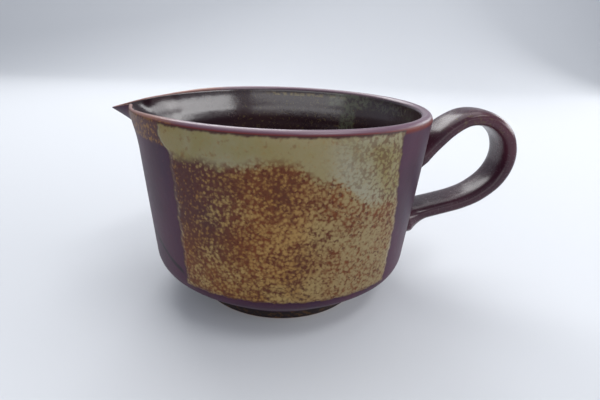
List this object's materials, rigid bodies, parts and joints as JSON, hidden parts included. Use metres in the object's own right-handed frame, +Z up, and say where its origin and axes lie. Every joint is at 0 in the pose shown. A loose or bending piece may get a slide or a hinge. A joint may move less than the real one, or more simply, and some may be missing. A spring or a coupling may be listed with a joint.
{
  "type": "gravy boat",
  "caption": "Round straight-sided stoneware gravy boat on a low foot ring, with a small pulled beak, an open top and a looped strap handle opposite the beak.",
  "frame": {"origin": "table level, under the middle of the whole length and on the plane through the beak and the handle", "axes": "+X from the beak to the handle, +Z up, +Y to the left of someone looking from the beak to the handle"},
  "size_m": [0.1733, 0.1206, 0.0824],
  "materials": {
    "plum_glaze": "satin dark plum-brown stoneware glaze, glossy where thick",
    "ochre_glaze": "satin mottled ochre over rust-brown glaze, paler olive band at the top"
  },
  "bodies": {
    "root": {"bowl": "plum_glaze", "strap_handle": "plum_glaze", "upper_joint_clay": "plum_glaze", "lower_joint_clay": "plum_glaze", "front_glaze": "ochre_glaze", "back_glaze": "ochre_glaze"}
  },
  "joints": []
}
